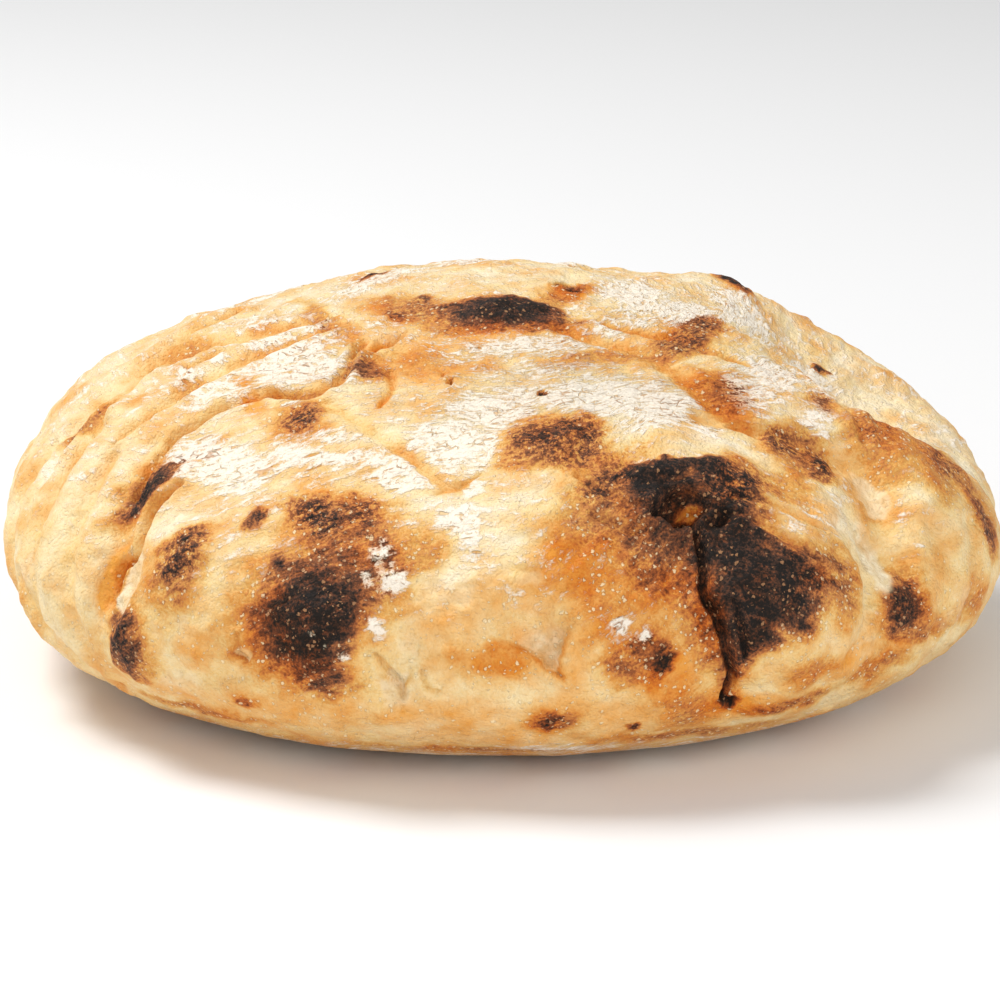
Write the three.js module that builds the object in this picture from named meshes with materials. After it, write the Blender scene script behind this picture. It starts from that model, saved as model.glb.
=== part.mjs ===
import * as THREE from 'three';
import { mergeVertices } from 'three/addons/utils/BufferGeometryUtils.js';

// A rustic bread roll, baked as one piece. Millimetres, +Z up, resting on z = 0.
//
// Places on the roll are given by two angles in degrees.
//   heading: round the roll seen from above; 0 is the front (-Y), 90 is the right (+X).
//   climb: up the side; -90 is the edge of the flat spot, 0 is the belly, 90 is the crown.

// ---- driving dimensions, mm -------------------------------------------------------------

// Overall sizes of the finished roll.
const ROLL_WIDTH = 140;
const ROLL_DEPTH = 131;
const ROLL_HEIGHT = 55;

// Height of the belly line, where the roll is widest.
const BELLY_HEIGHT = 19.5;

// The flat spot the roll was baked on.
const FLAT_WIDTH = 78;
const FLAT_DEPTH = 73;

// Height over which lumps fade away above the flat spot.
const FLAT_MARGIN = 6;

// Powers of the rounded curves: 2 is an ellipse, more is squarer, less is more pointed.
const PLAN_POWER = 2.15;
const CROWN_POWER = 1.85;
const UNDERSIDE_POWER = 2.15;

// Swellings raised out of the crust (rise) over a distance (reach); a dent has a negative rise.
const SWELLINGS = {
  crownBlister: { heading: 4, climb: 80, reach: 8, rise: 1.4 },
  crownKnob: { heading: 124, climb: 55, reach: 8, rise: 2.7 },
  crownDip: { heading: 134, climb: 66, reach: 6, rise: -1.2 },
  backRightPimple: { heading: 99, climb: 41, reach: 4.5, rise: 1.2 },
  crownBump: { heading: -31, climb: 59, reach: 5.5, rise: 1.2 },
  leftFrontBlister: { heading: -20, climb: 10, reach: 9, rise: 1.3 },
  leftCheek: { heading: -40, climb: 18, reach: 8, rise: 0.9 },
  leftLowOval: { heading: -45, climb: -4, reach: 6, rise: 0.7 },
  frontCheek: { heading: 3, climb: 24, reach: 13, rise: 1.2 },
  sootyCap: { heading: 11, climb: 45, reach: 9, rise: 1.3 },
  burstRim: { heading: 27, climb: 37, reach: 8, rise: 1.6 },
  charCheek: { heading: 32, climb: 15, reach: 10, rise: 1.9 },
  rightLowOval: { heading: 51, climb: 5, reach: 6, rise: 0.8 },
  rightLobe: { heading: 72, climb: 8, reach: 17, rise: 1.3 },
  rightTrim: { heading: 84, climb: 37, reach: 12, rise: -3.6 },
  rightCheek: { heading: 95, climb: 12, reach: 12, rise: 0.5 },
  leftShoulder: { heading: -98, climb: 34, reach: 20, rise: 1.9 },
  leftCrownDent: { heading: -110, climb: 62, reach: 15, rise: -1.0 },
  backBulge: { heading: 176, climb: 20, reach: 22, rise: 1.5 },
  backLeftBulge: { heading: -142, climb: 8, reach: 18, rise: 1.2 },
  backRightDent: { heading: 146, climb: 14, reach: 14, rise: -1.4 },
  backBlister: { heading: -168, climb: 44, reach: 8, rise: 1.4 },
  backLowBlister: { heading: 118, climb: 6, reach: 8, rise: 1.1 },
};

// Folds pressed into the crust along a line of places, [heading, climb] each.
const FOLDS = {
  leftRimFold: {
    depth: 1.1,
    halfWidth: 4,
    line: [[-75, 62], [-82, 50], [-85, 42], [-82, 35], [-78, 28]],
  },
  leftShoulderFold: {
    depth: 1.0,
    halfWidth: 4,
    line: [[-55, 44], [-53, 30], [-49, 20], [-46, 6]],
  },
  burstCrack: {
    depth: 1.8,
    halfWidth: 3.2,
    line: [[25, 30], [24, 18], [25, 6], [26, -12]],
  },
  rightCrease: {
    depth: 2.0,
    halfWidth: 4.2,
    line: [[40, 45], [48, 40], [56, 31], [53, 22], [52, 14]],
  },
  crownFold: {
    depth: 1.0,
    halfWidth: 3.5,
    line: [[-36, 67], [-26, 58], [-23, 50]],
  },
  backFold: {
    depth: 1.4,
    halfWidth: 4.5,
    line: [[162, 58], [156, 40], [160, 22], [158, 4]],
  },
  backLeftFold: {
    depth: 1.1,
    halfWidth: 4,
    line: [[-118, 46], [-124, 28], [-120, 8]],
  },
};

// ---- mesh density -----------------------------------------------------------------------

const ROUND_STEPS = 96;
const SIDE_ROWS = 36;
const FLAT_ROWS = 2;

// ---- the smooth body --------------------------------------------------------------------

const HALF_WIDTH = ROLL_WIDTH / 2;
const HALF_DEPTH = ROLL_DEPTH / 2;
const CROWN_RISE = ROLL_HEIGHT - BELLY_HEIGHT;

// Distance from the middle to a squared-off ellipse, along a heading in radians.
function planReach(heading, halfWidth, halfDepth) {
  const across = Math.abs(Math.sin(heading) / halfWidth) ** PLAN_POWER;
  const along = Math.abs(Math.cos(heading) / halfDepth) ** PLAN_POWER;
  return (across + along) ** (-1 / PLAN_POWER);
}

// A point of the smooth body at a heading and a climb in degrees.
function bodyPoint(headingDegrees, climbDegrees) {
  const heading = THREE.MathUtils.degToRad(headingDegrees);
  const climb = THREE.MathUtils.degToRad(climbDegrees);
  const belly = planReach(heading, HALF_WIDTH, HALF_DEPTH);
  const flat = planReach(heading, FLAT_WIDTH / 2, FLAT_DEPTH / 2);
  const inward = Math.max(Math.cos(climb), 0);
  const upward = Math.abs(Math.sin(climb));
  let reach = belly * inward ** (2 / CROWN_POWER);
  let height = BELLY_HEIGHT + CROWN_RISE * upward ** (2 / CROWN_POWER);
  if (climbDegrees < 0) {
    reach = flat + (belly - flat) * inward ** (2 / UNDERSIDE_POWER);
    height = BELLY_HEIGHT - BELLY_HEIGHT * upward ** (2 / UNDERSIDE_POWER);
  }
  return new THREE.Vector3(reach * Math.sin(heading), -reach * Math.cos(heading), height);
}

// The direction a lump is raised in at a point of the smooth body.
function outwardAt(point) {
  const lift = point.z - BELLY_HEIGHT;
  const half = lift > 0 ? CROWN_RISE : BELLY_HEIGHT;
  const outward = new THREE.Vector3(
    point.x / HALF_WIDTH ** 2,
    point.y / HALF_DEPTH ** 2,
    lift / half ** 2,
  );
  return outward.normalize();
}

// ---- lumps and folds --------------------------------------------------------------------

const lumps = Object.values(SWELLINGS).map((swelling) => ({
  ...swelling,
  centre: bodyPoint(swelling.heading, swelling.climb),
}));

// Each fold follows a smooth curve through its places.
const folds = Object.values(FOLDS).map((fold) => {
  const places = fold.line.map(([heading, climb]) => bodyPoint(heading, climb));
  const curve = new THREE.CatmullRomCurve3(places, false, 'centripetal');
  return { ...fold, beads: curve.getSpacedPoints(40) };
});

// How far the crust stands out from the smooth body at a point of it.
function crustOffset(point) {
  let offset = 0;
  for (const lump of lumps) {
    const away = point.distanceTo(lump.centre) / lump.reach;
    offset += lump.rise * Math.exp(-away * away);
  }
  for (const fold of folds) {
    const nearest = Math.min(...fold.beads.map((bead) => point.distanceTo(bead)));
    const away = nearest / fold.halfWidth;
    offset -= fold.depth * Math.exp(-away * away);
  }
  return offset * THREE.MathUtils.smoothstep(point.z, 0, FLAT_MARGIN);
}

// ---- the roll ---------------------------------------------------------------------------

// A globe whose rows are laid over the roll: the crown at the top, then the side rows down to
// the edge of the flat spot, then the flat rows in to the middle of the underside.
const globe = new THREE.SphereGeometry(1, ROUND_STEPS, SIDE_ROWS + FLAT_ROWS);
globe.rotateX(Math.PI / 2);
globe.deleteAttribute('uv');
globe.deleteAttribute('normal');
const places = globe.getAttribute('position');
for (let index = 0; index < places.count; index += 1) {
  const row = Math.floor(index / (ROUND_STEPS + 1));
  const step = (index % (ROUND_STEPS + 1)) % ROUND_STEPS;
  const heading = (360 * step) / ROUND_STEPS;
  const climb = 90 - (180 * Math.min(row, SIDE_ROWS)) / SIDE_ROWS;
  const point = bodyPoint(heading, climb);
  point.addScaledVector(outwardAt(point), crustOffset(point));
  const inFlat = Math.max(row - SIDE_ROWS, 0) / FLAT_ROWS;
  places.setXYZ(index, point.x * (1 - inFlat), point.y * (1 - inFlat), point.z);
}

const body = mergeVertices(globe, 1e-4);

// The lumps change the outside a little, so the whole roll is brought to its overall sizes,
// centred over the origin with the flat spot on z = 0.
body.computeBoundingBox();
const box = body.boundingBox.clone();
const middle = box.getCenter(new THREE.Vector3());
const sizes = box.getSize(new THREE.Vector3());
body.translate(-middle.x, -middle.y, -box.min.z);
body.scale(ROLL_WIDTH / sizes.x, ROLL_DEPTH / sizes.y, ROLL_HEIGHT / sizes.z);
body.computeVertexNormals();

const crust = new THREE.MeshStandardMaterial({
  name: 'crust',
  color: 0xdcae74,
  roughness: 0.82,
  metalness: 0,
});

const roll = new THREE.Mesh(body, crust);
roll.name = 'bread_roll';

const group = new THREE.Group();
group.name = 'bread_roll_part';
group.add(roll);

export default group;
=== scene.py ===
import math
from collections import namedtuple

import bpy
import numpy as np
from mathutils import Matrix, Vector
from mathutils.bvhtree import BVHTree


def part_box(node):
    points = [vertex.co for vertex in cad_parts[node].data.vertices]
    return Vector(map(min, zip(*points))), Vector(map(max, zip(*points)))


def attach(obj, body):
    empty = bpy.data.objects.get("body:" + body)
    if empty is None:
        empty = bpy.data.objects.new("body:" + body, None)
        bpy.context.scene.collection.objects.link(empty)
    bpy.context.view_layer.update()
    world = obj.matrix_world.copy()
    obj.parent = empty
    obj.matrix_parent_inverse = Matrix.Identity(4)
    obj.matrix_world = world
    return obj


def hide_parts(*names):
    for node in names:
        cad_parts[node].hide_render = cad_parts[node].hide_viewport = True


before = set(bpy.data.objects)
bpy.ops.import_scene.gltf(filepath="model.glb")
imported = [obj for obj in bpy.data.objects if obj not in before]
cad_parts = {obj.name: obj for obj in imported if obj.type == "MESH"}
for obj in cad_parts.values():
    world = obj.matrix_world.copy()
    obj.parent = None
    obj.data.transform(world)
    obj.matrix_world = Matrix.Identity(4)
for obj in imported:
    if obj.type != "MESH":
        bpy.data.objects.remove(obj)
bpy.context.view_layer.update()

# A rustic bread roll: one skin laid over the CAD body, with its blisters, cracks, folds and
# flour made in the mesh, and one crust material that reads where they are.
#
# Sizes are in millimetres until the mesh is written. A place on the crust is (heading, lift):
#   heading: degrees round the roll seen from above, 0 at the front (-Y), 90 at the right (+X);
#   lift: degrees above the belly, seen from the heart of the roll.

MM = 0.001

# ---- the body ----

LOW, HIGH = [np.array(corner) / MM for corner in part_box("bread_roll")]
HALF = (HIGH - LOW) / 2
BELLY_HEIGHT = 19.5
HEART = np.array([0.0, 0.0, BELLY_HEIGHT])

CAGE_CELLS = 32
SUBDIVISIONS = 3
FRONT = np.array([0.0, -1.0, 0.15]) / math.hypot(1.0, 0.15)
FRONT_CROWDING = 0.22

# ---- marks of the bake ----

# A spot: its place, its size across and along (up the side), how dark it is baked (0 pale,
# 1 black), how far it stands out and its tilt in degrees (leaning right). In the lists of
# soot, flour, hollows and amber, bake is how strongly the spot shows. Lobes and crumbs of
# flour leave it at 0.
Spot = namedtuple("Spot", "heading lift across along bake rise tilt", defaults=(0.0, 0.0))


def spots(*rows):
    """A spot for each row."""
    return [Spot(*row) for row in rows]


CHAR_SPOTS = spots(
    # left of the front
    (-21, 5, 12, 14, 1, 1.2, 20),
    (-45, -2, 6, 9, 0.8, 0.6, -15),
    (-51, 14, 3.2, 11, 0.9, 0.3, 22),
    (-32, 14, 2.6, 4, 0.74, 0.1, 10),
    (-27, 10, 2.4, 3, 0.76, 0.1),
    # the hood over the burst
    (20, 19, 4, 8, 0.88, 1.2),
    (24.5, 22, 9, 3.4, 0.9, 1.7),
    (30, 21, 6, 4, 0.86, 1.3, -20),
    (23, 19.5, 7, 3.6, 0.92),
    # the char beside the long crack
    (28.5, 13, 7, 9, 0.96, 0.5, -10),
    (29.5, 9, 9, 11, 0.94, 0.6, -15),
    (28.5, 5, 7, 9, 0.92, 0.3),
    (28, 1, 3, 7, 0.8, 0.1),
    (27, -6, 2.4, 3, 0.92, 0.1),
    (34, 7.5, 6, 7, 0.74, 0.4, -20),
    # right of the front
    (51, 1, 5, 9, 0.8, 0.7, 15),
    (18, 0, 4, 4.5, 0.9, 0.3),
    (16, -9, 2.4, 2, 0.78, 0.1),
    (6, -7, 4.4, 3.4, 0.68, 0.2),
    (70, 5, 5, 10, 0.66, 0.3),
    # the crown
    (3, 66, 15, 8, 1, 1, 5),
    (-2, 64, 8, 5, 0.96, 0.5, 20),
    (119, 38, 8, 5, 0.88, 0.6),
    (97, 26, 3.5, 3, 0.74, 0.5),
    (-46, 59, 4, 3, 0.66, 0.2),
    (-52, 68, 3, 2.6, 0.64, 0.1),
    (-128, 54, 6, 4, 0.7, 0.4),
    (144, 56, 8, 3, 0.74, 0.3),
)

# Soot: a black network over tan skin.
SOOT_SPOTS = spots(
    (7, 28, 9, 8, 1, 0.9, 20),
    (13, 29, 7, 7, 1, 0.5),
    (11, 25, 9, 5, 0.8, 0.2),
    (4, 25, 7, 5, 0.6, 0.2),
    (19, 25, 12, 4, 0.5, 0, -20),
    (13, 20, 6, 4, 0.9, 0.2, -10),
    (17, 22, 7, 5, 0.8, 0.3),
    (33, 18, 10, 8, 1, 0.9, -25),
    (-25, 16, 9, 6, 1, 0.3, 15),
    (-19, 17, 7, 5, 0.8, 0.2),
    (-39, 9, 6, 8, 1, 0.7, 15),
    (-36, 29, 5, 5.5, 0.9, 0.2, 30),
    (47, 22, 7, 5, 0.9, 0.2, -20),
    (51, 18, 7, 5, 1, 0.3, -30),
    (54, 44, 9, 4, 0.7, 0.2, -10),
    (70, 46, 6, 4, 0.7, 0.2),
    (34, 7, 8, 9, 0.6, 0, -20),
    (51, 1, 7, 10, 0.5, 0, 15),
    (72, 12, 11, 9, 0.6),
    (65, 19, 10, 7, 0.4, 0, -20),
    (70, 6, 7, 9, 0.4),
)

# Broad toasted skin round the char, with no rise of its own.
TOASTED = spots(
    (-18, 12, 20, 17, 0.56, 0, 30),
    (-24, 5, 16, 18, 0.56, 0, 10),
    (-20, -2, 10, 6, 0.6),
    (-39, 7, 9, 13, 0.52),
    (-48, 5, 5, 12, 0.4),
    (-45, -2, 9, 11, 0.52, 0, -15),
    (-52, 14, 9, 13, 0.52, 0, 20),
    (-30, -6, 3.4, 2.4, 0.56),
    (-9, 13, 8, 7, 0.44),
    (0, 1, 9, 6, 0.36),
    (6, -7, 7, 5, 0.5),
    (14, 16, 22, 12, 0.52, 0, -20),
    (19, 11, 12, 15, 0.6),
    (12, 8, 12, 10, 0.42),
    (15, 1, 11, 9, 0.54),
    (22, -7, 9, 9, 0.5),
    (26, 3, 5, 20, 0.62, 0, -3),
    (32, 5, 12, 10, 0.64, 0, -10),
    (23, 5, 5, 16, 0.56, 0, -3),
    (27, 14, 15, 12, 0.76),
    (36, -3, 10, 6, 0.46),
    (40, 6, 9, 12, 0.56),
    (35, -8, 16, 4, 0.58, 0, -5),
    (48, -6, 14, 4, 0.5),
    (56, -3, 14, 4, 0.52, 0, 5),
    (64, -2, 12, 5, 0.48, 0, 5),
    (24, -12, 30, 4, 0.54),
    (-2, -14, 34, 3, 0.5),
    (-38, -10, 24, 3, 0.5),
    (42, 17, 12, 8, 0.44, 0, -25),
    (50, 20, 13, 9, 0.56, 0, -25),
    (51, 1, 10, 12, 0.54, 0, 15),
    (62, 15, 10, 8, 0.42, 0, -30),
    (66, 11, 11, 8, 0.44, 0, -30),
    (65, 19, 14, 10, 0.46, 0, -20),
    (71, 14, 15, 12, 0.44, 0, -20),
    (73, 8, 9, 11, 0.44),
    (63, 25, 9, 6, 0.5, 0, -20),
    (46, 32, 10, 12, 0.5, 0, -30),
    (54, 45, 20, 8, 0.56),
    (70, 46, 12, 6, 0.54),
    (24, 46, 20, 5, 0.44),
    (-32, 41, 7, 6, 0.58),
    (-36, 29, 10, 8, 0.44),
    (3, 62, 24, 8, 0.52),
    (60, 72, 18, 6, 0.5),
    (-50, 64, 24, 10, 0.48),
    (-20, 46, 18, 9, 0.4),
    (-60, 50, 26, 4, 0.44, 0, 10),
    (-78, 50, 26, 4, 0.42),
    (-66, 28, 16, 4, 0.4, 0, 15),
    (-77, 16, 5, 10, 0.52),
    (-84, 30, 8, 10, 0.4),
)

# Broad lobes and dents of the dough.
LOBES = spots(
    (35, 6, 20, 22, 0, 1.6),
    (49, 5, 9, 20, 0, -2, 5),
    (57, 14, 8, 14, 0, -1.6, 10),
    (68, 10, 22, 30, 0, 1),
    (92, 24, 26, 24, 0, -4),
    (44, 24, 16, 10, 0, 1, -25),
    (-31, 9, 14, 16, 0, 0.6),
    (-40, 8, 9, 12, 0, 0.6),
    (-45, -2, 9, 10, 0, 0.5),
    (-49, 5, 6, 20, 0, -1, 5),
    (-62, 2, 14, 26, 0, 0.8),
    (-10, 2, 10, 14, 0, -0.8),
    (4, 4, 8, 6, 0, -1.5),
    (-2, 9, 9, 5, 0, 0.7),
    (-12, -1, 7, 7, 0, -0.8),
    (2, 17, 20, 14, 0, 0.8),
    (0, -3, 14, 12, 0, 0.6),
    (-25, -6, 16, 8, 0, 0.5),
    (14, 4, 12, 16, 0, 0.6),
)

# Patches of white flour.
FLOUR_PATCHES = spots(
    (-42, 20, 20, 9, 1, 0, 10),
    (-49, 19, 12, 8, 0.9, 0, 20),
    (-33, 23, 12, 6, 0.85, 0, -15),
    (-24, 24, 14, 4, 0.95, 0, -10),
    (-28, 27, 16, 3, 0.75, 0, -10),
    (-15, 23, 10, 7, 1, 0, 10),
    (-8, 28, 13, 11, 1.1, 0, 20),
    (-2, 34, 14, 8, 1, 0, 10),
    (6, 37, 14, 7, 0.85),
    (21, 36, 20, 10, 1.1),
    (30, 32, 17, 8, 1.05, 0, -15),
    (37, 27, 10, 5, 0.8, 0, -20),
    (10, 44, 26, 6, 0.66),
    (52, 31, 14, 10, 0.8, 0, -20),
    (62, 33, 16, 11, 0.9),
    (70, 25, 14, 9, 0.8, 0, -20),
    (58, 24, 10, 5, 0.85, 0, -20),
    (88, 26, 18, 12, 0.9),
    (96, 40, 24, 12, 0.95),
    (-62, 30, 24, 14, 0.8),
    (-56, 40, 26, 10, 0.95, 0, 5),
    (-50, 35, 20, 7, 0.9, 0, 8),
    (-44, 40, 18, 8, 0.9, 0, 5),
    (-66, 46, 24, 8, 0.8),
    (-80, 40, 22, 14, 0.74),
    (87, 60, 24, 12, 0.95),
    (76, 50, 16, 9, 0.95),
    (40, 54, 20, 6, 0.85),
    (10, 52, 26, 6, 0.8),
    (-14, 10, 4, 5, 0.75),
    (-5, 17, 6, 6, 0.95),
    (-4, 13, 4, 6, 0.8),
    (-4, 21, 4, 4, 0.85),
    (-20, 2.5, 4.5, 4, 0.62, 0, 30),
    (-14, 4, 3.4, 2.4, 0.66),
    (14, 4, 7, 6, 0.55),
    (8, -13, 18, 3, 0.7),
)

# Thick crumbs of flour that stand on the crust; rise is their height.
FLOUR_CLUMPS = spots(
    (-14.5, 11.8, 4, 4, 0, 0.45),
    (-12.8, 9.4, 3.4, 3.6, 0, 0.4),
    (-15.5, 9.5, 2, 2.4, 0, 0.3),
    (-5, 17.5, 4.4, 3.2, 0, 0.35),
    (-3.5, 14.5, 3, 3.2, 0, 0.3),
    (-20.5, 3.5, 2.4, 1.6, 0, 0.25),
    (-19, 2.3, 2.2, 1.6, 0, 0.25),
    (-17.6, 1.2, 1.8, 2, 0, 0.2),
    (-14, 4.5, 2.4, 2, 0, 0.2),
    (14, 4.5, 2.6, 2, 0, 0.2),
    (16, 3, 1.8, 2.2, 0, 0.2),
)

# Skin torn open over pale crumb.
PALE_HOLLOWS = spots(
    (-4, 8, 7, 3, 0.5, -0.3, -10),
    (3, 10, 8, 3, 0.5, -0.3, 10),
    (-11, 1, 6, 6, 0.5, -0.3),
    (-12, -4, 6, 5, 0.6, -0.3),
    (-46, 5, 3.5, 11, 0.8, -0.2),
    (50, 7, 6, 14, 0.8, -0.2, 10),
    (56, 13, 5, 9, 0.8, -0.2, 10),
    (45, -3, 6, 5, 0.5, -0.2),
    (-38, 2, 7, 3, 0.5, -0.2),
    (-64, 4, 12, 18, 0.4),
    (60, -1, 12, 10, 0.4),
    (-38, -5, 9, 5, 0.5),
)

# A tear: a notch between two arms, each leaning so many degrees from straight up. The dough
# above the notch is sunken pale crumb, and comes back up to the skin a reach above it.
Tear = namedtuple("Tear", "heading lift left right reach depth")

TEARS = [
    Tear(6.5, -0.5, -60, 14, 9.0, 1.5),
    Tear(-11, -3.5, -52, 24, 4.5, 0.9),
    Tear(-29, -1, -40, 35, 3.5, 0.6),
]

# A crack or fold runs through its places. It has a half width and a depth, the height of the
# lips beside it, how dark it is inside and how strongly that colour shows. The dark inside is
# partly browner crust and partly painted shade in the groove.
Crack = namedtuple("Crack", "places half_width depth lip bake ink")

CRACKS = {
    "long crack": Crack(
        [(25, 15), (25, 11), (24, 7), (25, 4), (26, 0), (27, -3), (26, -6)],
        0.6, 2.2, 0.4, 0.97, 1.0),
    "crack beside it": Crack([(27, 6), (27.5, 3), (28, 0)], 0.45, 0.8, 0.2, 0.95, 1.0),
    "left crack": Crack(
        [(-46, 16), (-48, 12), (-47, 8), (-49, 6), (-48, 2)], 0.8, 1.8, 0.5, 0.55, 0.6),
    "low tear": Crack([(-14, 1), (-13, -1), (-12, -2), (-11, -4)], 0.5, 0.9, 0.4, 0.48, 0.4),
    "low tear right": Crack([(-9, -1), (-8, -3), (-7, -3)], 0.45, 0.5, 0.2, 0.45, 0.4),
    "small tear": Crack([(-30, 2), (-30, 0), (-29, -1)], 0.45, 0.6, 0.2, 0.48, 0.5),
    "flour crease": Crack([(-9, 20), (-6, 21), (-3, 23)], 0.6, 0.7, 0.0, 0.44, 0.5),
    "right crease": Crack(
        [(37, 29), (44, 25), (50, 22), (55, 19), (59, 16), (56, 12), (53, 8), (53, 4)],
        2.2, 0.9, 0.0, 0.34, 0.3),
    "right step": Crack([(45, 11), (46, 6), (45, 2), (42, -3)], 1.8, 0.7, 0.2, 0.3, 0.3),
    "rim fold": Crack(
        [(-79, 14), (-81, 18), (-85, 24), (-83, 30), (-80, 38), (-76, 46)],
        2.0, 0.8, 0.3, 0.42, 0.3),
    "rim streak": Crack([(-69, 12), (-75, 18), (-88, 28), (-105, 36)], 1.5, 0.8, 0.3, 0.5, 0.5),
    "top streak": Crack([(-64, 17), (-65, 27), (-62, 43), (-52, 55)], 1.3, 0.9, 0.4, 0.48, 0.5),
    "high streak": Crack([(-72, 30), (-74, 42), (-70, 54)], 1.2, 0.7, 0.3, 0.48, 0.5),
    "shoulder fold": Crack(
        [(-53, 27), (-56, 21), (-54, 15), (-51, 9), (-49, 2)], 1.8, 0.7, 0.3, 0.44, 0.3),
    "orange fold": Crack(
        [(-53, 13), (-55, 22), (-48, 31), (-36, 36), (-41, 48)], 0.9, 1.1, 0.4, 0.54, 0.8),
    "flour edge": Crack(
        [(-46, 32), (-36, 33), (-26, 30), (-17, 27), (-8, 21)], 1.0, 0.5, 0.2, 0.46, 0.3),
    "orange band": Crack([(22, 57), (40, 46), (41, 33), (45, 24)], 1.5, 0.7, 0.3, 0.48, 0.6),
    "right crest": Crack([(84, 38), (74, 27), (62, 19)], 1.2, 0.7, 0.3, 0.4, 0.3),
    "burst pleat": Crack([(30, 15), (34, 12), (38, 8)], 0.6, 0.5, 0.35, 0.62, 0.5),
    "burst pleat high": Crack([(31, 17), (36, 15), (41, 11)], 0.6, 0.4, 0.3, 0.5, 0.4),
    "burst pleat left": Crack([(19, 17), (15, 19), (11, 22)], 0.6, 0.4, 0.3, 0.6, 0.4),
    "burst pleat low": Crack([(20, 15), (16, 15), (12, 17)], 0.6, 0.4, 0.3, 0.58, 0.4),
    "crown crack": Crack([(-38, 44), (-36, 48), (-34, 53)], 1.0, 1.2, 0.4, 0.46, 0.9),
    "crown crack low": Crack([(-27, 42), (-24, 38), (-24, 34)], 0.7, 0.7, 0.1, 0.48, 0.8),
    "crown band": Crack([(42, 56), (52, 48), (55, 42), (60, 36)], 1.4, 0.5, 0.2, 0.56, 0.6),
    "left arc": Crack([(-73, 12), (-77, 15), (-78, 20)], 0.7, 0.4, 0.3, 0.66, 0.7),
    "back rim arc": Crack([(150, 60), (147, 53), (140, 48)], 1.2, 0.3, 0.1, 0.56, 0.4),
    "left pleat": Crack([(-72, 18), (-66, 6), (-62, -4)], 2.0, 1.0, 0.4, 0.38, 0.3),
    "left pleat front": Crack([(-62, 16), (-57, 4), (-53, -7)], 1.6, 0.9, 0.4, 0.36, 0.3),
    "left pleat back": Crack([(-80, 12), (-75, 2), (-70, -6)], 1.8, 0.8, 0.4, 0.36, 0.3),
    "left pleat low": Crack([(-67, 0), (-60, -6), (-52, -10)], 1.4, 0.6, 0.3, 0.36, 0.2),
    "right pleat": Crack([(60, 8), (58, 2), (57, -4)], 2.0, 0.5, 0.2, 0.34, 0.2),
    "right pleat back": Crack([(66, 6), (64, 0), (62, -5)], 2.0, 0.4, 0.2, 0.34, 0.2),
    "left ridge low": Crack([(-42, -4), (-36, -4), (-30, -3)], 1.4, 0.4, 0.2, 0.3, 0.1),
}

# Holes left by burst bubbles, as deep as their rise is below zero. Each is darkened inside
# towards its bake: partly char, partly painted shade in the pit. The one that rises is a flake
# of orange crust left standing in the burst.
HOLES = spots(
    (24, 16.5, 6, 4.6, 0.97, -3.2),
    (28.5, 14.5, 4.2, 3.4, 0.98, -1.6, -30),
    (21, 16.5, 3.6, 3.2, 0.98, -1.6),
    (25.3, 16.6, 2.8, 2.2, 0.54, 1.2, 20),
    (-11, 40, 1.4, 1.8, 0.6, -1.2),
    (-14, 42, 0.9, 1.6, 0.52, -0.6),
    (9, 38, 1.1, 1.4, 0.98, -0.7),
    (42, 26, 2.6, 2, 0.42, -0.9),
    (70, 74, 4.4, 3, 0.97, -1.3, 20),
    (60, 71, 2.4, 2, 0.96, -0.8),
    (27, -6, 1.8, 1.8, 0.98, -0.8),
)

# Orange crust, in patches and inside tears.
AMBER_SPOTS = spots(
    (25, 16, 5, 4, 1, 0, 20),
    (-36, 48, 3, 5, 1),
    (-24, 35, 1.6, 4, 0.8),
    (62, 71, 12, 5, 1),
    (-50, 5, 4, 15, 1, 0, 5),
    (-35, 0, 10, 5, 0.7),
    (-49, 30, 18, 4, 0.9, 0, 22),
    (-40, 49, 14, 5, 0.6),
    (-68, 60, 30, 8, 0.4),
    (-27, 20, 8, 4, 0.7),
    (-24, 2, 16, 17, 0.7),
    (-16, 13, 14, 10, 0.4),
    (-7, 5, 8, 8, 0.5),
    (0, 1, 9, 6, 1),
    (2, 4, 36, 22, 0.45),
    (2, -8, 60, 12, 0.55),
    (-30, -8, 40, 10, 0.5),
    (16, 6, 22, 20, 0.6),
    (40, -2, 26, 12, 0.4),
    (10, 11, 16, 10, 0.8),
    (19, -2, 11, 9, 0.9),
    (24, 5, 6, 14, 0.9),
    (30, -7, 20, 5, 0.8),
    (44, -4, 22, 6, 0.7),
    (56, 3, 12, 12, 0.4),
    (42, 13, 10, 8, 0.6),
    (44, 32, 10, 14, 0.9, 0, -30),
    (50, 50, 24, 6, 0.8),
    (0, 56, 40, 10, 0.6),
    (-20, 42, 16, 8, 0.7),
    (70, 16, 16, 14, 0.5),
)

# ---- geometry helpers ----


def add_object(name, data):
    """A new object in the scene."""
    thing = bpy.data.objects.new(name, data)
    bpy.context.scene.collection.objects.link(thing)
    return thing


def unit(vectors):
    """The vectors, each brought to length one."""
    return vectors / np.linalg.norm(vectors, axis=-1, keepdims=True)


def smooth_step(low, high, value):
    """0 below low, 1 above high, and a smooth climb between; works downhill too."""
    share = np.clip((value - low) / (high - low), 0.0, 1.0)
    return share * share * (3.0 - 2.0 * share)


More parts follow.
